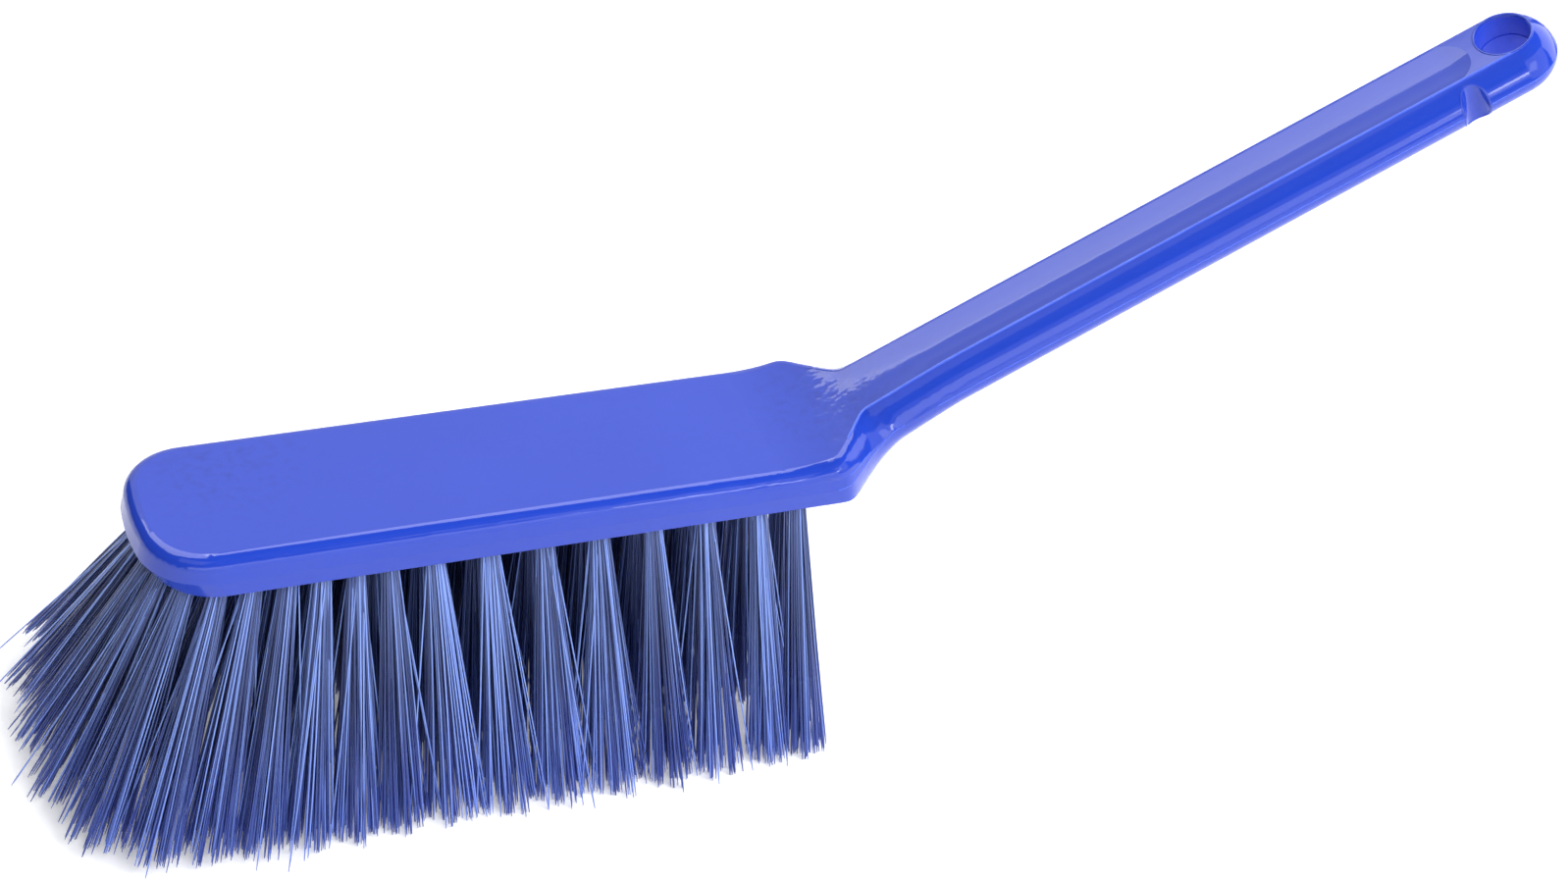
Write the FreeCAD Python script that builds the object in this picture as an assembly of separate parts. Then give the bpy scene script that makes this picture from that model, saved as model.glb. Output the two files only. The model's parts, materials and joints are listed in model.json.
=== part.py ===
import FreeCAD, Part
import math
import os

os.makedirs("parts", exist_ok=True)
Vec = FreeCAD.Vector

# A one-piece moulded hand broom: a flat brush block, a cranked neck and a straight handle,
# with tufts of filament stapled into blind holes in the block's underside.
# Millimetres and degrees. +X runs to the handle's end, +Z up, the trimmed bristle tips at Z = 0.

# Brush block
block_length = 143.4        # front of the block to where the neck starts to bend
block_width = 41.6          # at the parting line
block_thickness = 10.2
block_parting_depth = 6.0   # top face down to the parting line
block_edge_radius = 3.0     # round along the top edge
front_bow_radius = 60.0     # the front end is bowed
front_corner_radius = 14.5
front_rake_depth = 1.1      # the upper half leans back at the front
front_undercut = 3.0        # and the lower half draws back under it
side_undercut = 0.5         # and a little along the sides

# Neck: the top face bends on one radius, the shoulders draw in to the handle
bend_radius = 53.0
bend_angle = 27.2
ridge_lead_length = 11.6    # along the top face, where its edge turns in
ridge_run = 13.0
ridge_swell_width = 0.9     # the top face is still this much wider, each side, after the shoulder
shoulder_lead_length = 12.6  # where the parting line turns in
shoulder_run = 17.5
shoulder_swell_width = 0.9
neck_length = 48.0          # by here the section is the handle's
neck_web = 3.2              # extra depth under the bend, fading along the neck
underside_blend = 1.5       # softens the crease under the neck
ridge_ease_share = 0.20     # part of each run that eases in, and out
shoulder_turn_share = 0.20  # the shoulder turns in sharply
shoulder_ease_share = 0.60  # and runs out slowly into the handle
neck_spans = 28             # evenly spaced sections shape the neck

# Handle: hollow above between two ridges, flat below, round along both sides
handle_length = 169.0       # end of the bend to the middle of the hanging hole
handle_width = 23.0
handle_thickness = 11.8     # at the middle of the hollow
handle_parting_depth = 6.1  # from there down to the parting line
handle_ridge_width = 13.6   # from ridge to ridge
handle_hollow = 0.9         # the ridges stand this much over the middle
handle_side_angle = 33.0    # the sides leave the ridges this steeply
handle_land = 0.1           # upright strip just above the parting line
hollow_to_hole = 16.0       # the hollow's round end is centred this far from the hanging hole
hang_hole_diameter = 13.0
notch_radius = 3.2          # half-round nick in one side of the handle
notch_to_hole = 14.2

# Tufts, their holes and the flat wire that staples them
bristle_length = 62.8       # underside of the block to the trimmed tips
tuft_hole_diameter = 4.0
tuft_hole_depth = 6.6
tuft_sides = 8              # holes and bundles are drawn with flat sides, to keep their faces few
tuft_clearance = 0.1        # between a bundle and its hole, all round
tuft_edge_inset = 5.0       # hole centres in from the edge of the underside
rear_tuft_place = 5.6       # last tufts, past the start of the bend
rear_tuft_pitch = 9.4       # from them to the next
straight_count = 8
fan_pitch = 7.4             # closer side tufts towards the front
fan_count = 6
fan_to_front = 17.0         # from the first of them to the block's front
front_pitch = 6.2           # round the bow
front_count = 5
inner_fan_count = 4
inner_fan_to_front = 21.3
inner_row_share = 1 / 3     # inner rows' distance from the middle, of the outer rows'
tip_radius = 6.2            # widest that a tuft's trimmed end may flare
tip_gap = 0.5               # kept between the flared ends
side_lean_angle = 15.2      # outer tufts lean out
front_side_lean_angle = 7.0  # and this much more at the front
front_sweep_angle = 8.0     # where use has set them to the left
rear_lean_angle = 3.0       # straight rows lean a little to the rear
front_lean_angle = 21.5     # the front row leans forward
fan_power = 1.3             # how late the forward lean builds up along the sides
fan_length = 65.2           # no tuft is longer than this, so those that lean most end higher
anchor_thickness = 0.3
anchor_height = 1.8
anchor_bite = 0.4           # each end cuts this far into the hole's wall
anchor_cover = 1.2          # folded filament between the wire and the hole's floor

overrun = 2.0               # every cut runs this far past its faces

# Worked out from the sizes above
half_block = block_width / 2
underside = bristle_length
top_face = underside + block_thickness
bend = math.radians(bend_angle)
bend_arc = bend_radius * bend
hole_station = bend_arc + handle_length
handle_foot = handle_width / 2 - (handle_thickness - handle_parting_depth)
outer_row = half_block - side_undercut - tuft_edge_inset
second_tuft = rear_tuft_place - rear_tuft_pitch
fan_tuft = fan_to_front - block_length + fan_pitch * (fan_count - 1)
tuft_pitch = (second_tuft - fan_tuft - fan_pitch / 2) / (straight_count - 3 / 2)
fan_start = second_tuft - tuft_pitch * (straight_count - 2)
inner_fan_end = inner_fan_to_front - block_length
inner_fan_pitch = (fan_start - inner_fan_end - tuft_pitch / 2) / (inner_fan_count - 1 / 2)
quarter_weight = math.sqrt(0.5)


def mix(a, b, share):
    return a + (b - a) * share


def ramp(place, start, run, in_share, out_share):
    """Goes from 0 to 1 in a straight run that eases in and out."""
    share = min(max((place - start) / run, 0), 1)
    slope = 1 / (1 - (in_share + out_share) / 2)
    if share < in_share:
        return slope * share ** 2 / (2 * in_share)
    if share > 1 - out_share:
        return 1 - slope * (1 - share) ** 2 / (2 * out_share)
    return slope * (share - in_share / 2)


def on_body(station, across, depth):
    """A point of the moulding: along the top face, across it, and down from it."""
    turn = min(max(station / bend_radius, 0), bend)
    straight = station - turn * bend_radius
    x = bend_radius * math.sin(turn) + straight * math.cos(turn)
    z = bend_radius * (1 - math.cos(turn)) + straight * math.sin(turn)
    return Vec(x + depth * math.sin(turn), across, top_face + z - depth * math.cos(turn))


def depth_at(station, block_depth, handle_depth):
    """Depth of a line that runs level under the block, then level with the handle."""
    turn = min(max(station / bend_radius, 0), bend)
    level = (bend_radius + block_depth) / math.cos(turn) - bend_radius
    sloped = (bend_radius + handle_depth) / math.cos(bend - turn) - bend_radius
    overlap = max(underside_blend - abs(level - sloped), 0) / underside_blend
    return min(level, sloped) - overlap ** 2 * underside_blend / 4


def line(a, b):
    return Part.LineSegment(a, b).toShape()


def conic(start, pull, end, weight):
    """A conic from start to end, drawn towards pull: straight, arc or quarter ellipse."""
    bezier = Part.BezierCurve()
    bezier.setPoles([start, pull, end])
    bezier.setWeight(2, weight)
    return bezier.toShape()


def arc(start, pull, end, weight):
    """The same where that conic is part of a circle."""
    middle = (start + pull * (2 * weight) + end) / (2 * (1 + weight))
    return Part.Arc(start, middle, end).toShape()


def section_sizes(station):
    """Half widths and depths of the moulding's section at a place along its top face."""
    neck_run = neck_length - ridge_lead_length
    shoulder = ramp(station, shoulder_lead_length, shoulder_run, shoulder_turn_share, shoulder_ease_share)
    turned = ramp(station, ridge_lead_length, ridge_run, ridge_ease_share, ridge_ease_share)
    rest = ramp(station, ridge_lead_length, neck_run, ridge_ease_share, ridge_ease_share)
    ridge = mix(half_block - block_edge_radius, handle_ridge_width / 2, turned)
    side = mix(half_block, handle_width / 2, shoulder)
    parting = depth_at(station, block_parting_depth, handle_parting_depth)
    floor = depth_at(station, block_thickness, handle_thickness + neck_web * (1 - rest))
    land = mix(block_parting_depth - block_edge_radius, handle_land, shoulder)
    foot = mix(half_block - side_undercut, handle_foot, shoulder)
    return {
        "ridge": ridge + ridge_swell_width * turned * (1 - rest),
        "side": side + shoulder_swell_width * shoulder * (1 - rest),
        "parting": parting,
        "floor": floor,
        "land": parting - land,
        "foot": foot,
        "hollow": handle_hollow * rest,
        "slope": math.radians(handle_side_angle) * shoulder,
        "round": shoulder,
    }


def side_edges(station, hand, draw):
    """One side of the section, from the top face's edge down to the underside."""
    size = section_sizes(station)

    def at(across, depth):
        return on_body(station, hand * across, depth)

    slope = size["slope"]
    out = size["side"] - size["ridge"]
    down = size["land"] + size["hollow"]
    half_turn = math.atan2(down, out) - slope
    reach = math.hypot(out, down) / 2 / math.cos(half_turn)
    ridge = at(size["ridge"], -size["hollow"])
    corner = at(size["ridge"] + reach * math.cos(slope), reach * math.sin(slope) - size["hollow"])
    land = at(size["side"], size["land"])
    parting = at(size["side"], size["parting"])
    foot = at(size["foot"], size["floor"])
    middle = (parting + foot) / 2
    pull = middle + (at(size["side"], size["floor"]) - middle) * size["round"]
    lower = draw(parting, pull, foot, mix(1, quarter_weight, size["round"]))
    return [draw(ridge, corner, land, math.cos(half_turn)), line(land, parting), lower]


def section(station, draw, hollow):
    """The moulding's closed section at a place along its top face, hollow or level between the ridges."""
    size = section_sizes(station)
    ridges = [on_body(station, hand * size["ridge"], -size["hollow"]) for hand in (-1, 1)]
    feet = [on_body(station, hand * size["foot"], size["floor"]) for hand in (1, -1)]
    dip_angle = 2 * math.atan2(size["hollow"], size["ridge"])
    dip_pull = on_body(station, 0, size["ridge"] * math.tan(dip_angle) - size["hollow"])
    top = draw(ridges[0], dip_pull, ridges[1], math.cos(dip_angle)) if hollow else line(*ridges)
    sides = [side_edges(station, hand, draw) for hand in (1, -1)]
    return Part.Wire([top] + sides[0] + [line(*feet)] + sides[1][::-1])


def half_section(station):
    """The handle's section past the hollow, from its middle to one side."""
    size = section_sizes(station)
    middle = on_body(station, 0, -size["hollow"])
    ridge = on_body(station, size["ridge"], -size["hollow"])
    foot = on_body(station, size["foot"], size["floor"])
    base = on_body(station, 0, size["floor"])
    around = side_edges(station, 1, arc) + [line(foot, base), line(base, middle)]
    return Part.Wire([line(middle, ridge)] + around)


def front_end(front_draw, side_draw):
    """Radii and centres of the front end, drawn in from the parting line at the front and sides."""
    side = half_block - side_draw
    bow = front_bow_radius - front_draw
    corner = front_corner_radius - side_draw
    centre = front_bow_radius - block_length
    reach = math.sqrt((bow - corner) ** 2 - (side - corner) ** 2)
    return side, bow, corner, centre, centre - reach


def front_place(y, front_draw, side_draw):
    """How far forward the drawn-in front end lies, across the block."""
    side, bow, corner, centre, corner_x = front_end(front_draw, side_draw)
    past = abs(y) - (side - corner)
    if past > corner * (side - corner) / (bow - corner):
        return corner_x - math.sqrt(corner ** 2 - past ** 2)
    return centre - math.sqrt(bow ** 2 - y ** 2)


def block_outline(height, front_draw, side_draw):
    """The block seen from above, drawn in from its parting line at the front and sides."""
    side, bow, corner, centre, corner_x = front_end(front_draw, side_draw)
    tip = Vec(centre - bow, 0, height)
    turn = math.asin((side - corner) / (bow - corner))
    half_turn = (turn + math.pi / 2) / 2

    def corner_point(angle, hand):
        x = corner_x - corner * math.cos(angle)
        return Vec(x, hand * (side - corner + corner * math.sin(angle)), height)

    left, right = ([corner_point(a, hand) for a in (turn, half_turn, math.pi / 2)] for hand in (1, -1))
    rear = [Vec(0, hand * side, height) for hand in (1, -1)]
    return Part.Wire([
        Part.Arc(right[0], tip, left[0]).toShape(),
        Part.Arc(*left).toShape(),
        line(left[2], rear[0]),
        line(*rear),
        line(rear[1], right[2]),
        Part.Arc(*right[::-1]).toShape(),
    ])


def brush_block():
    """Upper half with a rounded top edge, lower half drawn in towards the underside."""
    parting_height = top_face - block_parting_depth
    rim = block_outline(parting_height, 0, 0)
    crown = block_outline(top_face, front_rake_depth, 0)
    upper = Part.makeLoft([rim, crown], True, True)
    near = block_edge_radius / 2
    top_edges = [
        edge for edge in upper.Edges
        if edge.BoundBox.ZMin > top_face - near and edge.BoundBox.XMin < -near
    ]
    upper = upper.makeFillet(block_edge_radius, top_edges)
    sole = block_outline(underside, front_undercut, side_undercut)
    return upper.Solids[0].fuse(Part.makeLoft([sole, rim], True, True))


def handle_axis():
    """Direction square to the handle's top face, pointing up out of it."""
    return on_body(hole_station, 0, 0) - on_body(hole_station, 0, handle_thickness)


def through_handle(station, across, radius):
    """A round cutter straight through the handle."""
    start = on_body(station, across, handle_thickness + overrun)
    return Part.makeCylinder(radius, handle_thickness + 2 * overrun, start, handle_axis())


def scoop(station):
    """A ball that rounds off the hollow's end."""
    radius = (handle_ridge_width ** 2 / 4 + handle_hollow ** 2) / (2 * handle_hollow)
    return Part.makeSphere(radius, on_body(station, 0, -radius))


def moulding():
    """Block, neck and handle as the one piece that leaves the mould."""
    stations = [neck_length * i / neck_spans for i in range(neck_spans + 1)]
    neck = Part.makeLoft([section(station, conic, True) for station in stations], True)
    hollow_end = hole_station - hollow_to_hole
    grip_run = on_body(hollow_end, 0, 0) - on_body(neck_length, 0, 0)
    grip = Part.Face(section(neck_length, arc, True)).extrude(grip_run)
    tail_run = on_body(hole_station, 0, 0) - on_body(hollow_end, 0, 0)
    tail = Part.Face(section(hollow_end, arc, False)).extrude(tail_run).cut(scoop(hollow_end))
    end = Part.Face(half_section(hole_station)).revolve(
        on_body(hole_station, 0, 0), handle_axis(), -180)
    stem = neck.fuse(grip).fuse(tail).fuse(end)
    body = brush_block().fuse(stem).removeSplitter()
    hole = through_handle(hole_station, 0, hang_hole_diameter / 2)
    notch = through_handle(hole_station - notch_to_hole, -handle_width / 2, notch_radius)
    return body.cut([hole, notch])


def row_places(first, pitch, count):
    return [first - pitch * i for i in range(count)]


def tuft_places():
    """Name and place of each tuft's hole on the underside, by rows."""
    straight = [rear_tuft_place] + row_places(second_tuft, tuft_pitch, straight_count - 1)
    outer = straight + row_places(fan_tuft, fan_pitch, fan_count)
    inner_fan_tuft = fan_start - (tuft_pitch + inner_fan_pitch) / 2
    inner = straight + row_places(inner_fan_tuft, inner_fan_pitch, inner_fan_count)
    places = []
    for hand, side in ((-1, "right"), (1, "left")):
        rows = (("outer", outer, outer_row), ("inner", inner, outer_row * inner_row_share))
        for row, along, across in rows:
            places += [(f"tuft_{side}_{row}_{i + 1:02d}", x, hand * across) for i, x in enumerate(along)]
    for i in range(front_count):
        y = front_pitch * (i - (front_count - 1) / 2)
        x = front_place(y, front_undercut + tuft_edge_inset, side_undercut + tuft_edge_inset)
        places.append((f"tuft_front_{i + 1:02d}", x, y))
    return places


def lean(y, fan):
    """Way a tuft points, down from its hole: out to the sides, and forward at the front."""
    forward = rear_lean_angle * (1 - fan) - front_lean_angle * fan ** fan_power
    outward = (side_lean_angle + front_side_lean_angle * fan) * y / outer_row
    across = outward + front_sweep_angle * fan ** 2
    return Vec(math.tan(math.radians(forward)), math.tan(math.radians(across)), -1)


def tufts():
    """Each tuft's name, mouth on the underside, unit way, height of its trimmed end and radius there."""
    places = tuft_places()
    front = min(x for name, x, y in places)
    found = []
    for name, x, y in places:
        fan = min(max((fan_start - x) / (fan_start - front), 0), 1)
        way = lean(y, fan)
        end = max(underside - fan_length / way.Length, 0)
        tip = Vec(x, y, underside) + way * (underside - end)
        found.append((name, Vec(x, y, underside), way, end, tip))
    made = []
    for name, mouth, way, end, tip in found:
        nearest = min(tip.distanceToPoint(other[4]) for other in found if other[0] != name)
        radius = min(tip_radius, (nearest - tip_gap) / 2 / way.Length)
        made.append((name, mouth, way / way.Length, end, radius))
    return made


def spokes(way):
    """Unit directions to the corners of a tuft's outline, square to the way that it points."""
    across = Vec(0, 1, 0).cross(way).normalize()
    along = way.cross(across)
    angles = [2 * math.pi * (i + 1 / 2) / tuft_sides for i in range(tuft_sides)]
    return [across * math.cos(angle) + along * math.sin(angle) for angle in angles]


def ring(points):
    return Part.makePolygon(points + points[:1])


def tuft_hole(mouth, way):
    """A blind hole that follows its tuft's lean."""
    floor = mouth - way * tuft_hole_depth
    outline = ring([floor + spoke * (tuft_hole_diameter / 2) for spoke in spokes(way)])
    return Part.Face(outline).extrude(way * (tuft_hole_depth + overrun))


def anchor(mouth, way):
    """Flat wire across the hole, on edge, with its ends in the hole's wall."""
    length = tuft_hole_diameter + 2 * anchor_bite
    wire = Part.makeBox(length, anchor_thickness, anchor_height)
    wire.translate(Vec(-length / 2, -anchor_thickness / 2, -anchor_height))
    across = Vec(0, 1, 0).cross(-way).normalize()
    turn = FreeCAD.Rotation(across, Vec(0, 0, 0), -way, "XZY")
    base = mouth - way * (tuft_hole_depth - anchor_cover)
    return wire.transformed(FreeCAD.Placement(base, turn).toMatrix())


def tuft(mouth, way, end, end_radius):
    """A bundle folded over its wire in the hole, flaring to its level trimmed end."""
    root_radius = tuft_hole_diameter / 2 - tuft_clearance
    top = mouth - way * (tuft_hole_depth - tuft_clearance)
    flare = (end_radius - root_radius) * -way.z / (underside - end)
    corners = spokes(way)
    necks = [mouth + spoke * root_radius for spoke in corners]
    slopes = [way + spoke * flare for spoke in corners]
    tips = [neck + slope * ((end - neck.z) / slope.z) for neck, slope in zip(necks, slopes)]
    tops = [top + spoke * root_radius for spoke in corners]
    faces = [tops, tips]
    for upper, lower in ((tops, necks), (necks, tips)):
        faces += [[upper[i - 1], upper[i], lower[i], lower[i - 1]] for i in range(tuft_sides)]
    shell = Part.Shell([Part.Face(ring(points)) for points in faces])
    return Part.Solid(shell).cut(anchor(mouth, way))


def build():
    """Every piece by its node's name."""
    set_tufts = tufts()
    wires = [anchor(mouth, way) for name, mouth, way, end, radius in set_tufts]
    holes = [tuft_hole(mouth, way) for name, mouth, way, end, radius in set_tufts]
    pieces = {"handle_block": moulding().cut(holes).cut(wires)}
    pieces["anchor_wires"] = Part.makeCompound(wires)
    for name, mouth, way, end, radius in set_tufts:
        pieces[name] = tuft(mouth, way, end, radius)
    return pieces


def to_footprint_middle(pieces):
    """Moves the pieces so that the origin lies under the middle of the whole."""
    box = FreeCAD.BoundBox()
    for shape in pieces.values():
        box.add(shape.optimalBoundingBox(False))
    for shape in pieces.values():
        shape.translate(Vec(-(box.XMin + box.XMax) / 2, -(box.YMin + box.YMax) / 2, -box.ZMin))


pieces = build()
to_footprint_middle(pieces)
for node, shape in pieces.items():
    shape.exportStep(f"parts/{node}.step")
body = pieces["handle_block"]
print("pieces", sum(len(shape.Solids) for shape in pieces.values()), "in", len(pieces), "nodes")
print("moulding", len(body.Solids), "solid, valid", body.isValid(), "volume", round(body.Volume))
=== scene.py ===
import bpy
import json
import math
import numpy as np
from mathutils import Matrix, Quaternion, Vector


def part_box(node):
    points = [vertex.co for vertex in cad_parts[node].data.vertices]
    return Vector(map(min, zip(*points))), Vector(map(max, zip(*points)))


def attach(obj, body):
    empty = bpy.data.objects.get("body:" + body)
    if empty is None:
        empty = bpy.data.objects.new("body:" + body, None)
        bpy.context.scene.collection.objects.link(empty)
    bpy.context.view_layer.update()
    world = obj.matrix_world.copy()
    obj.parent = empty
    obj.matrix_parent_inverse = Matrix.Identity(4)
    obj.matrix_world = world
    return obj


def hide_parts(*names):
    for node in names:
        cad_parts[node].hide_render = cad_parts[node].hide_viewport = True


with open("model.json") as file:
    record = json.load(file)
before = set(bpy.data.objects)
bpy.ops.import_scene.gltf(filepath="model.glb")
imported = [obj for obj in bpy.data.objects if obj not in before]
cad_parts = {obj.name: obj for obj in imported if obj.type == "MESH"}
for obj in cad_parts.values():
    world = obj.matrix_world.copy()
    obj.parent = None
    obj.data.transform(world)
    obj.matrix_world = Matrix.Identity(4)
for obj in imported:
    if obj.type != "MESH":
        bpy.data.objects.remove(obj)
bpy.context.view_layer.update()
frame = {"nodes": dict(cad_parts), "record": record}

# A hand broom: one glossy moulding of block, neck and handle, with stapled tufts of fine filament.
# Sizes are in millimetres and angles in degrees. Blender's own unit is the metre.
mm = 0.001

# Filament, as cut from the hank
filament_diameter = 0.37
filament_sides = 5
filament_ring_shares = (0.0, 0.2, 0.4, 0.6, 0.8, 0.965, 1.0)   # places of its rings, so that it can bow
filament_point_share = 0.5     # how blunt the worn point is, of the full thickness
filaments_in_tuft = 130
filament_in_hole = 3.0         # hidden length above the block's underside
root_share = 0.86              # how much of its hole's mouth a bundle fills
trim_step = 0.8                # how uneven the trimmed ends are
short_step = 4.0               # filaments that broke or slipped
short_share = 0.12
end_spread = 1.18              # how far the ends reach past the tuft's own solid
floor_gap = 0.05               # lowest tips above the floor
bow = 0.5                      # sideways bow of a filament
flare_share = 0.44             # how much of its spread a filament has half way down
lit_share = 0.34            # filaments painted as lit; the rest are painted in shade
shaded_rows_lit_share = 0.16       # the same in the inner rows and at the front, painted in shade: the block shades the inner rows and the front faces away from the light
shaded_rows = ("inner", "front")
fan_lit_share = 0.24        # the same where the outer rows begin to fan out, painted in more shade as they face away from the light
fan_start = -105.0
stray_share = 0.05             # filaments that left their bundle
stray_reach = 6.5
stray_limit = 9.0
clumps_in_tuft = 12
clump_pull_share = 0.55
clump_pull_range = (0.3, 1.0)  # from filament to filament
clump_reach = 0.95             # of the tuft's radius, as are the two below
end_scatter = 0.16             # how far an end leaves its root's place
place_scatter = 0.03
stray_narrowing = 3            # strays lean along the row more than across it
thickness_range = (0.85, 1.1)
# shades of the filaments painted lit, then of those painted in shade, each varying a little at random
bright_shades = (0.75, 1.0)
dark_shades = (0.0, 0.3)
map_margin = 0.1               # free edge of each filament's column in its map
mouth_slack = 2.0              # to find a tuft's two rings in its solid
end_slack = 0.1

# Moulding, as it leaves the tool
sharp_angle = 5
flash_radius = 0.2             # flash on the parting line
flash_height = 0.09            # how far it stands out from the surface
parting_depth = 6.0            # of the block, below its top face
ridge_radius = 0.5             # rolled lip on the handle's ridges
ridge_height = 0.08
lip_radius = 0.4               # the same on the edges of the nick and the hanging hole
lip_height = 0.08
lip_angle = 25                 # edges that turn by less have no lip
ridge_angle = 60               # and those that turn by more are no ridges
flash_facing = 0.45            # parting edges on the neck face up less than this
ridge_facing = 0.6             # and ridges face up more than this
parting_slack = 0.1
smooth_angle = 30              # edges of the hole's wall that turn by less are smooth
bore_steps = 64                # sides of the hanging hole's wall
bore_skin = 0.05               # how far the wall stands in from the frame's hole
bore_ledge = 0.16              # step in the wall, where the two core pins met
bore_depth = 0.4
front_peel_and_shade = (-131.0, 6.5, 73.0)   # middle of the places where the skin cooled unevenly, with a stronger orange peel and a darker mottle painted in as shade
neck_peel_and_shade = (8.0, -3.0, 76.0)
peel_reach = 26.0

# Camera, as fitted to the photograph
image_width = 1598
camera_focus = 3466.5          # in pixels of that image
camera_target = (-4.311, -6.521, 67.77)
camera_distance = 775.8
camera_azimuth = 25.97         # from +Y towards +X
camera_elevation = 37.64
camera_roll = 8.363
sensor_width = 36.0

# Studio, with its sizes and distances in metres
floor_size = 8
far_softbox_roll = -41.0
world_glow = 0.14

rng = np.random.default_rng(7)


def linear(hex_colour):
    """An sRGB hex colour as the linear one that Blender's sockets take."""
    channels = [int(hex_colour[i:i + 2], 16) / 255 for i in (1, 3, 5)]
    return tuple(c / 12.92 if c <= 0.04045 else ((c + 0.055) / 1.055) ** 2.4 for c in channels) + (1.0,)


def add(tree, kind, settings=None, links=None):
    """Adds a node: settings go to its properties or its inputs, links to its inputs from other nodes' outputs."""
    made = tree.nodes.new(kind)
    for name, value in (settings or {}).items():
        if isinstance(name, str) and hasattr(made, name):
            setattr(made, name, value)
        else:
            made.inputs[name].default_value = value
    for name, output in (links or {}).items():
        tree.links.new(output, made.inputs[name])
    return made


def new_material(name):
    material = bpy.data.materials.new(name)
    material.use_nodes = True
    material.node_tree.nodes.clear()
    return material, material.node_tree


def moulded_polypropylene():
    """Polypropylene, dyed in the mass and moulded in a polished tool: a hard clear gloss over a deep royal blue,
    with the faint orange peel of a cooling skin, darkened in two patches by a painted shade, slow changes of shade
    where it flowed, and a little dust."""
    material, tree = new_material("moulded_polypropylene")
    place = add(tree, "ShaderNodeTexCoord").outputs["Object"]
    flow = add(tree, "ShaderNodeTexNoise", {"Scale": 1 / (38 * mm), "Detail": 2.0}, {"Vector": place})
    even = add(tree, "ShaderNodeMix", {"data_type": "RGBA", 6: linear("#1A39AC"), 7: linear("#1F40B8")},
               {0: flow.outputs["Fac"]})
    peel = add(tree, "ShaderNodeTexNoise", {"Scale": 1 / (2.2 * mm), "Detail": 1.0}, {"Vector": place})
    uneven = []
    for middle in (front_peel_and_shade, neck_peel_and_shade):
        away = add(tree, "ShaderNodeVectorMath", {"operation": "DISTANCE", 1: Vector(middle) * mm}, {0: place})
        fading = add(tree, "ShaderNodeMapRange", {"From Max": peel_reach * mm, "To Min": 1.0, "To Max": 0.10,
                                                  "interpolation_type": "SMOOTHSTEP"}, {"Value": away.outputs["Value"]})
        uneven.append(fading.outputs[0])
    depth = add(tree, "ShaderNodeMath", {"operation": "MAXIMUM"}, {0: uneven[0], 1: uneven[1]})
    relief = add(tree, "ShaderNodeBump", {"Distance": 0.06 * mm},
                 {"Height": peel.outputs["Fac"], "Strength": depth.outputs[0]})
    # painted shade: where the peel is strong its colour is darkened in a mottle, standing in for the dimmer, broken
    # reflection there
    mottle = add(tree, "ShaderNodeMapRange", {"From Min": 0.45, "From Max": 0.75, "To Max": 0.7},
                 {"Value": peel.outputs["Fac"]})
    painted_peel_shade = add(tree, "ShaderNodeMath", {"operation": "MULTIPLY"}, {0: mottle.outputs[0], 1: depth.outputs[0]})
    blue = add(tree, "ShaderNodeMix", {"data_type": "RGBA", 7: linear("#15309C")},
               {0: painted_peel_shade.outputs[0], 6: even.outputs[2]})
    haze = add(tree, "ShaderNodeTexNoise", {"Scale": 1 / (16 * mm), "Detail": 3.0}, {"Vector": place})
    gloss = add(tree, "ShaderNodeMapRange", {"To Min": 0.06, "To Max": 0.11}, {"Value": haze.outputs["Fac"]})
    shader = add(tree, "ShaderNodeBsdfPrincipled", {"IOR": 1.49},
                 {"Base Color": blue.outputs[2], "Roughness": gloss.outputs[0], "Normal": relief.outputs[0]})
    add(tree, "ShaderNodeOutputMaterial", None, {"Surface": shader.outputs[0]})
    return material


def highlit_flash():
    """The same polypropylene on the rolled ridge lip and the parting flash, painted a paler blue as a painted highlight
    along these edges;
    thin flash also lets a little light through, and it is a little dulled by handling."""
    material, tree = new_material("highlit_flash")
    place = add(tree, "ShaderNodeTexCoord").outputs["Object"]
    rubbed = add(tree, "ShaderNodeTexNoise", {"Scale": 1 / (7 * mm), "Detail": 2.0}, {"Vector": place})
    # painted highlight: a paler blue than the moulding, along the ridge lip and the flash
    blue = add(tree, "ShaderNodeMix", {"data_type": "RGBA", 6: linear("#2F50CC"), 7: linear("#4C6DE6")},
               {0: rubbed.outputs["Fac"]})
    gloss = add(tree, "ShaderNodeMapRange", {"To Min": 0.10, "To Max": 0.22}, {"Value": rubbed.outputs["Fac"]})
    shader = add(tree, "ShaderNodeBsdfPrincipled", {"IOR": 1.49},
                 {"Base Color": blue.outputs[2], "Roughness": gloss.outputs[0]})
    add(tree, "ShaderNodeOutputMaterial", None, {"Surface": shader.outputs[0]})
    return material


def pin_cored_wall():
    """Polypropylene that shrank on to a core pin and was pulled off it: the same blue, with a satin skin and fine
    draw marks along the hole."""
    material, tree = new_material("pin_cored_wall")
    place = add(tree, "ShaderNodeTexCoord").outputs["Object"]
    drawn = add(tree, "ShaderNodeTexNoise", {"Scale": 1 / (1.2 * mm), "Detail": 2.0}, {"Vector": place})
    blue = add(tree, "ShaderNodeMix", {"data_type": "RGBA", 6: linear("#2441C0"), 7: linear("#2D4CD0")},
               {0: drawn.outputs["Fac"]})
    satin = add(tree, "ShaderNodeMapRange", {"To Min": 0.42, "To Max": 0.55}, {"Value": drawn.outputs["Fac"]})
    shader = add(tree, "ShaderNodeBsdfPrincipled", {"IOR": 1.49, "Specular IOR Level": 0.25},
                 {"Base Color": blue.outputs[2], "Roughness": satin.outputs[0]})
    add(tree, "ShaderNodeOutputMaterial", None, {"Surface": shader.outputs[0]})
    return material


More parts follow.
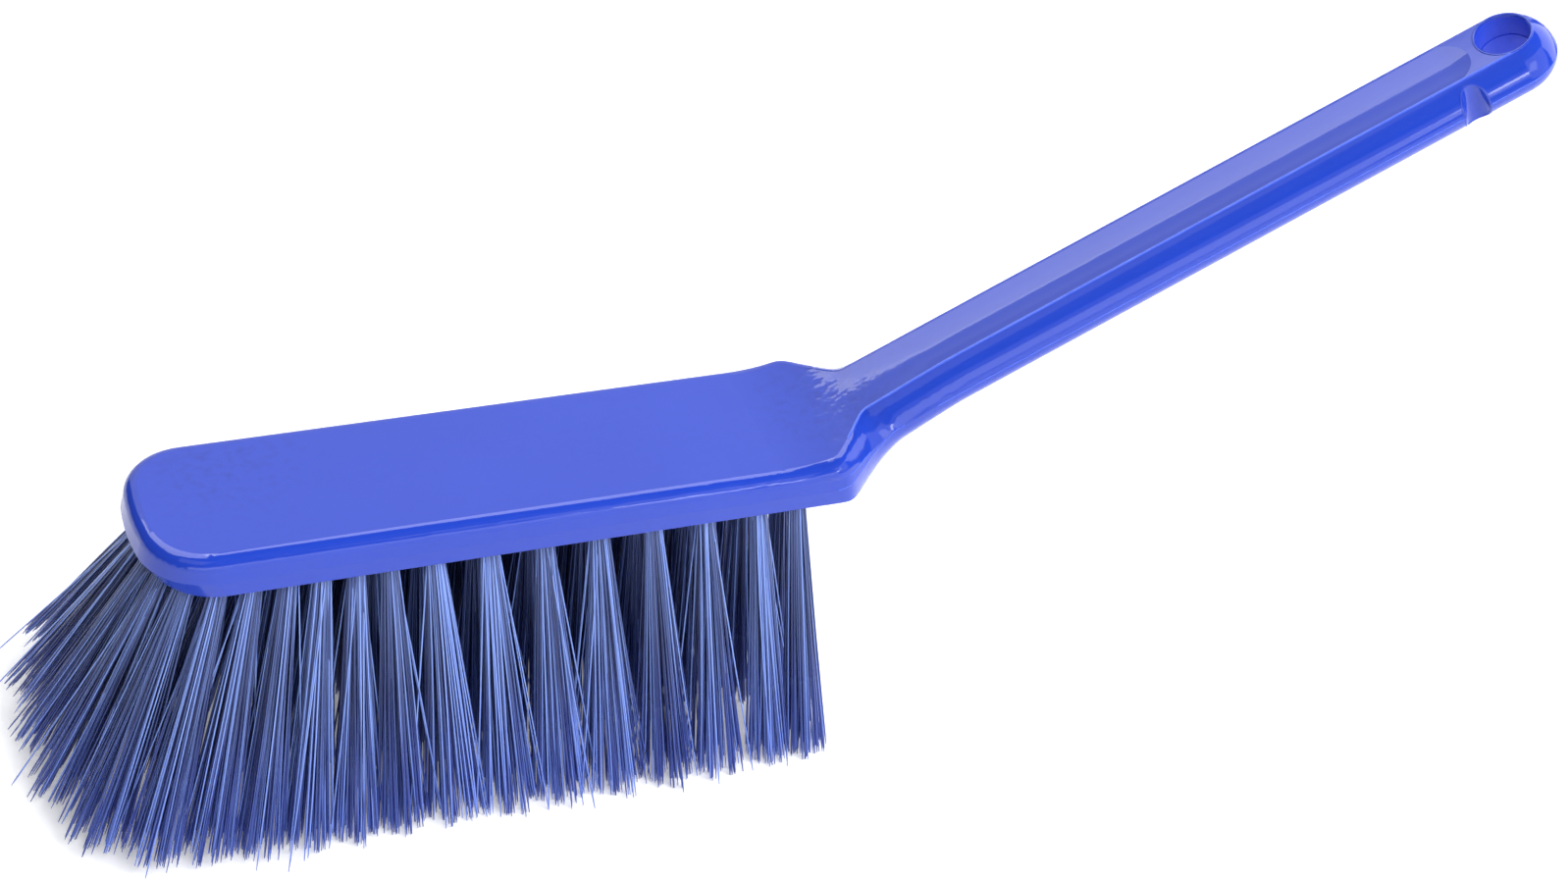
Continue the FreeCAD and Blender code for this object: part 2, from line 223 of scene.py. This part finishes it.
def drawn_filament():
    """Drawn polymer filament, lightly dyed: each strand is painted either lit or in shade, and within that is a little
    lighter or darker than the next at random;
    painted light near its root, glossy along its length, and duller and deeper in colour towards its worn point."""
    material, tree = new_material("drawn_filament")
    shade = add(tree, "ShaderNodeAttribute", {"attribute_name": "shade"}).outputs["Fac"]
    along = add(tree, "ShaderNodeAttribute", {"attribute_name": "along"}).outputs["Fac"]
    # painted light and shade: strands painted in shade run to a near black navy, lit ones to a light blue
    strand = add(tree, "ShaderNodeMix", {"data_type": "RGBA", 6: linear("#0E1A55"), 7: linear("#86A3F0")}, {0: shade})
    # painted light: each strand is mixed towards a light blue near its root, where light reaches it under the block
    painted_root_light = add(tree, "ShaderNodeMapRange", {"From Max": 0.5, "To Min": 0.2, "To Max": 0.0}, {"Value": along})
    root_lit_colour = add(tree, "ShaderNodeMix", {"data_type": "RGBA", 7: linear("#98B2F6")},
                 {0: painted_root_light.outputs[0], 6: strand.outputs[2]})
    worn = add(tree, "ShaderNodeMapRange", {"From Min": 0.5, "From Max": 1.0, "To Max": 0.4}, {"Value": along})
    colour = add(tree, "ShaderNodeMix", {"data_type": "RGBA", 7: linear("#2D4DC8")},
                 {0: worn.outputs[0], 6: root_lit_colour.outputs[2]})
    dull = add(tree, "ShaderNodeMapRange", {"To Min": 0.16, "To Max": 0.32}, {"Value": along})
    shader = add(tree, "ShaderNodeBsdfPrincipled", {"IOR": 1.50},
                 {"Base Color": colour.outputs[2], "Roughness": dull.outputs[0]})
    add(tree, "ShaderNodeOutputMaterial", None, {"Surface": shader.outputs[0]})
    return material


def tinned_wire():
    """Flat steel anchor wire, tinned and cropped: grey metal with the fine scratches of the rolls along it."""
    material, tree = new_material("tinned_wire")
    place = add(tree, "ShaderNodeTexCoord").outputs["Object"]
    rolls = add(tree, "ShaderNodeTexNoise", {"Scale": 1 / (0.3 * mm), "Detail": 3.0}, {"Vector": place})
    grey = add(tree, "ShaderNodeMix", {"data_type": "RGBA", 6: linear("#8E9196"), 7: linear("#B9BCC1")},
               {0: rolls.outputs["Fac"]})
    scratch = add(tree, "ShaderNodeMapRange", {"To Min": 0.30, "To Max": 0.50}, {"Value": rolls.outputs["Fac"]})
    shader = add(tree, "ShaderNodeBsdfPrincipled", {"Metallic": 1.0},
                 {"Base Color": grey.outputs[2], "Roughness": scratch.outputs[0]})
    add(tree, "ShaderNodeOutputMaterial", None, {"Surface": shader.outputs[0]})
    return material


def pale_floor():
    """Matt white studio board on a light table, so that shadows stay pale."""
    material, tree = new_material("studio_board")
    place = add(tree, "ShaderNodeTexCoord").outputs["Object"]
    tone = add(tree, "ShaderNodeTexNoise", {"Scale": 1 / (400 * mm)}, {"Vector": place})
    white = add(tree, "ShaderNodeMix", {"data_type": "RGBA", 6: linear("#F1F2F4"), 7: linear("#F6F6F7")},
                {0: tone.outputs["Fac"]})
    shader = add(tree, "ShaderNodeBsdfPrincipled", {"Roughness": 0.9, "Specular IOR Level": 0.1,
                                                    "Emission Color": linear("#FFFFFF"), "Emission Strength": 0.25},
                 {"Base Color": white.outputs[2]})
    add(tree, "ShaderNodeOutputMaterial", None, {"Surface": shader.outputs[0]})
    return material


def model_filament():
    """One straight filament, of unit length and radius, from its root at 0 up to its worn point at 1."""
    bpy.ops.object.select_all(action="DESELECT")
    bpy.ops.mesh.primitive_cylinder_add(vertices=filament_sides, radius=1, depth=1, location=(0, 0, 0.5),
                                        end_fill_type="TRIFAN")
    strand = bpy.context.object
    bpy.ops.object.transform_apply(location=True)
    bpy.ops.object.mode_set(mode="EDIT")
    bpy.ops.mesh.select_mode(type="EDGE")
    bpy.ops.mesh.select_all(action="DESELECT")
    bpy.ops.object.mode_set(mode="OBJECT")
    for edge in strand.data.edges:
        ends = [strand.data.vertices[v].co.z for v in edge.vertices]
        edge.select = abs(ends[0] - ends[1]) > 0.5
    bpy.ops.object.mode_set(mode="EDIT")
    bpy.ops.mesh.subdivide(number_cuts=len(filament_ring_shares) - 2)
    bpy.ops.mesh.select_mode(type="VERT")
    bpy.ops.mesh.select_all(action="DESELECT")
    bpy.ops.object.mode_set(mode="OBJECT")
    for vertex in strand.data.vertices:
        vertex.select = vertex.co.z > 0.99
    bpy.ops.object.mode_set(mode="EDIT")
    bpy.ops.transform.resize(value=(filament_point_share, filament_point_share, 1))
    bpy.ops.object.mode_set(mode="OBJECT")
    points = np.array([v.co for v in strand.data.vertices])
    points[:, 2] = np.interp(points[:, 2], np.linspace(0, 1, len(filament_ring_shares)), filament_ring_shares)
    faces = [tuple(p.vertices) for p in strand.data.polygons if p.center.z > 0.001]
    bpy.data.objects.remove(strand)
    return points, faces


def filament_map(points, faces):
    """Where each face corner lies on a strip that is unrolled from the filament: round it, then along it."""
    turns = np.round(np.arctan2(points[:, 1], points[:, 0]) / (2 * math.pi) * filament_sides) % filament_sides
    corners = []
    for face in faces:
        round_it = turns[list(face)]
        if round_it.max() - round_it.min() > 1:
            round_it = np.where(round_it == 0, filament_sides, round_it)
        along_it = points[list(face), 2]
        middle = np.linalg.norm(points[list(face), :2], axis=1) < 0.01
        round_it = np.where(middle, round_it[~middle].mean(), round_it)
        along_it = np.where((along_it > 0.99) & ~middle & middle.any(), 0.99, along_it)
        corners += list(zip(round_it / filament_sides, along_it))
    return np.array(corners)


def tuft_rings(node):
    """Middle and radius of a tuft where it leaves its hole, then where it is trimmed."""
    points = np.unique(np.array([v.co for v in node.data.vertices]).round(6), axis=0)
    low = points[:, 2].min()
    at_mouth = abs(points[:, 2] - underside) < mouth_slack * mm
    at_end = points[:, 2] < low + end_slack * mm
    rings = points[at_mouth], points[at_end]
    return [(ring.mean(0), np.linalg.norm(ring - ring.mean(0), axis=1).max()) for ring in rings]


def disc(count):
    """Places spread evenly over a disc of radius 1, a little disturbed."""
    turn = np.arange(count) * math.pi * (3 - math.sqrt(5)) + rng.uniform(0, 2 * math.pi)
    reach = np.sqrt((np.arange(count) + 0.5) / count)
    places = np.stack([reach * np.cos(turn), reach * np.sin(turn)], axis=1)
    return places + rng.normal(0, place_scatter, places.shape)


def unit(vectors):
    return vectors / np.linalg.norm(vectors, axis=-1, keepdims=True)


def make_tuft(name, node, strand, faces, finish):
    """The bundle of filaments that stands for one tuft of the frame."""
    (mouth, mouth_radius), (end, end_radius) = tuft_rings(node)
    count = filaments_in_tuft
    axis = unit(end - mouth)
    side = unit(np.cross(axis, [0.0, 1.0, 0.0]))
    other = np.cross(axis, side)
    root_places = disc(count)
    start = mouth + mouth_radius * root_share * (root_places[:, :1] * side + root_places[:, 1:] * other)
    start = start - axis * filament_in_hole * mm

    # Trimmed ends follow the roots' order, drawn together in clumps, with some strays.
    ends = root_places + rng.normal(0, end_scatter, (count, 2))
    centres = disc(clumps_in_tuft) * clump_reach
    nearest = np.linalg.norm(ends[:, None] - centres[None], axis=2).argmin(1)
    ends = ends + (centres[nearest] - ends) * clump_pull_share * rng.uniform(*clump_pull_range, (count, 1))
    tip = np.zeros((count, 3))
    tip[:, 0] = end[0] + ends[:, 0] * end_radius * end_spread
    tip[:, 1] = end[1] - ends[:, 1] * end_radius * end_spread
    stray = rng.random(count) < stray_share
    drift = rng.normal(0, 1, (stray.sum(), 2)) * [stray_reach, stray_reach / stray_narrowing]
    tip[stray, :2] += np.clip(drift, -stray_limit, stray_limit) * mm
    tip[:, 0] = np.minimum(tip[:, 0], rear_end)
    tip[:, 2] = end[2] + rng.uniform(0, trim_step * mm, count) + floor_gap * mm
    short = rng.random(count) < short_share
    tip[short, 2] += rng.uniform(0, short_step * mm, short.sum())

    bend = (start + tip) / 2 + rng.normal(0, bow * mm, (count, 3)) * [1, 1, 0]
    bend = bend - (0.5 - flare_share) * ((tip - end) - (start - mouth)) * [1, 1, 0] * ~stray[:, None]
    t = strand[:, 2][None, :, None]
    path = (1 - t) ** 2 * start[:, None] + 2 * t * (1 - t) * bend[:, None] + t ** 2 * tip[:, None]
    chord = unit(tip - start)
    across = unit(np.cross(chord, [1.0, 0.0, 0.0]))
    along_y = np.cross(chord, across)
    radius = filament_diameter / 2 * mm * rng.uniform(*thickness_range, (count, 1, 1))
    x, y = strand[:, 0][None, :, None], strand[:, 1][None, :, None]
    points = path + radius * (x * along_y[:, None] + y * across[:, None])

    mesh = bpy.data.meshes.new(name)
    sides = [tuple(v + i * len(strand) for v in face) for i in range(count) for face in faces]
    mesh.from_pydata(points.reshape(-1, 3).tolist(), [], sides)
    mesh.shade_smooth()
    # painted light and shade: the share of filaments painted lit, lower in the rows that lie in shade
    painted_lit_share = fan_lit_share if mouth[0] < fan_start * mm else lit_share
    if any(row in name for row in shaded_rows):
        painted_lit_share = shaded_rows_lit_share
    bright = rng.random(count) < painted_lit_share
    # strays are always painted lit, as if catching the light in the dark gaps between tufts
    shade = np.where(bright | stray, rng.uniform(*bright_shades, count), rng.uniform(*dark_shades, count))
    shade = np.repeat(shade, len(strand))
    for attribute, values in (("shade", shade), ("along", np.tile(strand[:, 2], count))):
        mesh.attributes.new(attribute, "FLOAT", "POINT").data.foreach_set("value", values.astype(np.float32))
    unrolled = filament_map(strand, faces)
    columns = np.repeat(np.arange(count), len(unrolled))
    unrolled = np.tile(unrolled, (count, 1))
    unrolled[:, 0] = (columns + map_margin + (1 - 2 * map_margin) * unrolled[:, 0]) / count
    mesh.uv_layers.new(name="OFBake").data.foreach_set("uv", unrolled.astype(np.float32).ravel())
    mesh.materials.append(finish)
    piece = bpy.data.objects.new(name, mesh)
    bpy.context.scene.collection.objects.link(piece)
    return piece


def sharp_edges(node):
    """The outward edges of a frame's mesh at which its surface turns sharply: both ends of each, the summed normals
    there, and the angle that it turns by."""
    mesh = node.data
    places = np.array([mesh.vertices[corner.vertex_index].co for corner in mesh.loops])
    normals = np.array([corner.vector for corner in mesh.corner_normals])
    seen = {}
    edges = []
    for face in mesh.polygons:
        corners = list(face.loop_indices)
        for i, here in enumerate(corners):
            there = corners[(i + 1) % 3]
            off = places[corners[(i + 2) % 3]]
            ends = sorted([(tuple(places[c].round(6)), normals[c]) for c in (here, there)], key=lambda end: end[0])
            key = (ends[0][0], ends[1][0])
            if key not in seen:
                seen[key] = ends
                continue
            pairs = [(end[1], other[1]) for end, other in zip(ends, seen[key])]
            turn = max(math.acos(min(one @ two, 1.0)) for one, two in pairs)
            outward = (off - np.array(ends[0][0])) @ pairs[0][1] < 0
            if turn > math.radians(sharp_angle) and outward:
                edges.append((ends[0][0], ends[1][0], sum(pairs[0]), sum(pairs[1]), turn))
    return edges


def bore_wall(name, finish):
    """The wall of the hanging hole: two half-length barrels, the lower one a step narrower."""
    hole = next(m for m in frame["record"]["mounts"] if m["name"] == "hang_hole")
    reach = hole["dims"]["length_mm"] / 2 * mm
    wide = (hole["dims"]["r_mm"] - bore_skin) * mm
    narrow = wide - bore_ledge * mm
    bpy.ops.object.select_all(action="DESELECT")
    bpy.ops.mesh.primitive_cylinder_add(vertices=bore_steps, radius=wide, depth=reach, location=(0, 0, reach / 2),
                                        end_fill_type="NOTHING")
    piece = bpy.context.object
    piece.name = name
    bpy.ops.object.transform_apply(location=True)
    bpy.ops.object.mode_set(mode="EDIT")
    bpy.ops.mesh.select_mode(type="EDGE")
    bpy.ops.mesh.select_all(action="DESELECT")
    bpy.ops.object.mode_set(mode="OBJECT")
    for edge in piece.data.edges:
        edge.select = all(abs(piece.data.vertices[v].co.z) < 0.01 * mm for v in edge.vertices)
    bpy.ops.object.mode_set(mode="EDIT")
    bpy.ops.mesh.extrude_region_move()
    bpy.ops.transform.resize(value=(narrow / wide, narrow / wide, 1))
    bpy.ops.mesh.extrude_region_move(TRANSFORM_OT_translate={"value": (0, 0, -reach)})
    bpy.ops.mesh.select_all(action="SELECT")
    bpy.ops.mesh.normals_make_consistent(inside=True)
    bpy.ops.object.mode_set(mode="OBJECT")
    wall = piece.modifiers.new("wall", "SOLIDIFY")
    wall.thickness = bore_depth * mm
    wall.offset = -1
    bpy.ops.object.modifier_apply(modifier="wall")
    turned = Vector(hole["axis"]).to_track_quat("Z", "Y").to_matrix().to_4x4()
    piece.matrix_world = Matrix.Translation(hole["pos_m"]) @ turned
    bpy.ops.object.transform_apply(location=True, rotation=True)
    bpy.ops.object.shade_smooth_by_angle(angle=math.radians(smooth_angle))
    piece.data.materials.append(finish)
    return piece


def edge_beads(name, edges, radius, height, finish):
    """A fine rounded bead along edges, as a polished tool leaves it, to catch the light."""
    points, normals, pairs = {}, [], []
    for start, stop, start_normal, stop_normal, _ in edges:
        pair = []
        for place, normal in ((start, start_normal), (stop, stop_normal)):
            if place not in points:
                points[place] = len(points)
                normals.append(np.zeros(3))
            normals[points[place]] = normals[points[place]] + normal
            pair.append(points[place])
        pairs.append(pair)
    inward = (radius - height) * mm
    mesh = bpy.data.meshes.new(name)
    mesh.from_pydata([tuple(np.array(p) - inward * unit(n)) for p, n in zip(points, normals)], pairs, [])
    piece = bpy.data.objects.new(name, mesh)
    bpy.context.scene.collection.objects.link(piece)
    bpy.ops.object.select_all(action="DESELECT")
    piece.select_set(True)
    bpy.context.view_layer.objects.active = piece
    bpy.ops.object.convert(target="CURVE")
    piece.data.bevel_depth = radius * mm
    piece.data.bevel_resolution = 1
    piece.data.use_fill_caps = True
    bpy.ops.object.convert(target="MESH")
    bpy.ops.object.shade_smooth()
    piece.data.materials.clear()
    piece.data.materials.append(finish)
    return piece


def softbox(name, azimuth, elevation, distance, width, height, glow, roll=0.0, mirrored=True, lighting=True):
    """A flat panel of light that faces the broom, with its brightness as the eye sees the panel."""
    turn, rise = math.radians(azimuth), math.radians(elevation)
    way = Vector((math.sin(turn) * math.cos(rise), math.cos(turn) * math.cos(rise), math.sin(rise)))
    data = bpy.data.lights.new(name, "AREA")
    data.shape = "RECTANGLE"
    data.size, data.size_y = width, height
    data.energy = glow * math.pi * width * height
    lamp = bpy.data.objects.new(name, data)
    lamp.location = Vector(camera_target) * mm + way * distance
    lamp.rotation_euler = (way.to_track_quat("Z", "Y") @ Quaternion((0, 0, 1), math.radians(roll))).to_euler()
    lamp.visible_camera = False
    lamp.visible_glossy = mirrored
    lamp.visible_diffuse = lighting
    bpy.context.scene.collection.objects.link(lamp)


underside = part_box("handle_block")[0].z
rear_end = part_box("tuft_right_outer_01")[1].x      # where the rows of tufts end and the neck begins

# The moulding keeps its shape from the frame. Beads along its edges are its flash and its rolled lips.
plastic = moulded_polypropylene()
flash = highlit_flash()
wire = tinned_wire()
for name, finish in (("handle_block", plastic), ("anchor_wires", wire)):
    for slot in frame["nodes"][name].material_slots:
        slot.material = finish
top = max(v.co.z for v in frame["nodes"]["handle_block"].data.vertices if v.co.x < rear_end)
parting_edges, ridge_edges, lip_edges = [], [], []
for edge in sharp_edges(frame["nodes"]["handle_block"]):
    middle = (np.array(edge[0]) + edge[1]) / 2
    facing = unit(edge[2])
    on_neck = middle[0] > rear_end
    gentle = edge[4] < math.radians(lip_angle)
    at_parting = abs(middle[2] - (top - parting_depth * mm)) < parting_slack * mm
    if at_parting or (on_neck and gentle and abs(facing[2]) < flash_facing):
        parting_edges.append(edge)
    elif on_neck and not gentle and middle[2] > top:
        near_ridge = edge[4] < math.radians(ridge_angle) and facing[2] > ridge_facing and facing[1] < 0
        (ridge_edges if near_ridge else lip_edges).append(edge)
for name, edges, radius, height, finish in (("parting_flash", parting_edges, flash_radius, flash_height, flash),
                                            ("ridge_lip", ridge_edges, ridge_radius, ridge_height, flash),
                                            ("edge_lips", lip_edges, lip_radius, lip_height, plastic)):
    beads = edge_beads(name, edges, radius, height, finish)
    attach(beads, "root")
hole_wall = bore_wall("hole_wall", pin_cored_wall())
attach(hole_wall, "root")

# Tufts
filament = drawn_filament()
strand, strand_faces = model_filament()
for name in sorted(frame["nodes"]):
    if name.startswith("tuft_"):
        node = frame["nodes"][name]
        piece = make_tuft(name.replace("tuft", "filaments"), node, strand, strand_faces, filament)
        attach(piece, "root")
        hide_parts(name)

# Floor, light and camera
bpy.ops.object.select_all(action="DESELECT")
bpy.ops.mesh.primitive_plane_add(size=floor_size)
floor = bpy.context.object
floor.name = "floor"
floor.data.materials.append(pale_floor())

# Each softbox: azimuth and elevation as the broom sees it, then distance, width, height and brightness
softbox("far_softbox", -30.8, 62.9, 1.817, 1.1, 1.42, 4.2, roll=far_softbox_roll, lighting=False)
softbox("far_edge_softbox", 40, 59.5, 1.8, 1.0, 0.62, 4.4)
softbox("far_wall", 12, 38, 2.0, 2.8, 0.74, 1.3)
softbox("far_low_wall", 12, 15, 2.0, 2.8, 0.88, 0.95)
softbox("right_wall", 78, 22, 2.0, 1.7, 1.4, 2.4)
softbox("near_low_softbox", 191, 7, 1.6, 1.85, 0.46, 2.4, lighting=False)
softbox("near_middle_softbox", 188, 20, 1.6, 1.6, 0.26, 0.6, lighting=False)
softbox("near_left_softbox", 221, 52, 1.6, 1.0, 0.8, 0.8, lighting=False)
softbox("near_neck_softbox", 149, 24, 1.6, 0.36, 0.5, 2.0, lighting=False)
softbox("near_right_strip", 160, 14, 1.6, 0.22, 0.12, 9.0, lighting=False)
softbox("near_right_softbox", 138, 24, 1.6, 1.5, 1.2, 1.1)
softbox("near_high_softbox", 160, 52, 1.6, 1.8, 1.0, 5.5, mirrored=False)
softbox("far_fill", -20, 62, 1.8, 1.0, 1.0, 1.5, mirrored=False)
world = bpy.data.worlds.new("studio")
bpy.context.scene.world = world
world.use_nodes = True
world.node_tree.nodes["Background"].inputs["Color"].default_value = linear("#FFFFFF")
world.node_tree.nodes["Background"].inputs["Strength"].default_value = world_glow

turn, rise, roll = (math.radians(a) for a in (camera_azimuth, camera_elevation, camera_roll))
forward = Vector((math.sin(turn) * math.cos(rise), math.cos(turn) * math.cos(rise), -math.sin(rise)))
level = forward.cross(Vector((0, 0, 1))).normalized()
upright = level.cross(forward)
right = level * math.cos(roll) + upright * math.sin(roll)
up = right.cross(forward)
camera = bpy.data.objects.new("camera", bpy.data.cameras.new("camera"))
camera.data.sensor_fit = "HORIZONTAL"
camera.data.sensor_width = sensor_width
camera.data.lens = camera_focus / image_width * sensor_width
camera.matrix_world = Matrix.Translation(Vector(camera_target) * mm - forward * camera_distance * mm) @ Matrix(
    (right, up, -forward)).transposed().to_4x4()
bpy.context.scene.collection.objects.link(camera)
bpy.context.scene.camera = camera
bpy.context.scene.view_settings.view_transform = "Standard"
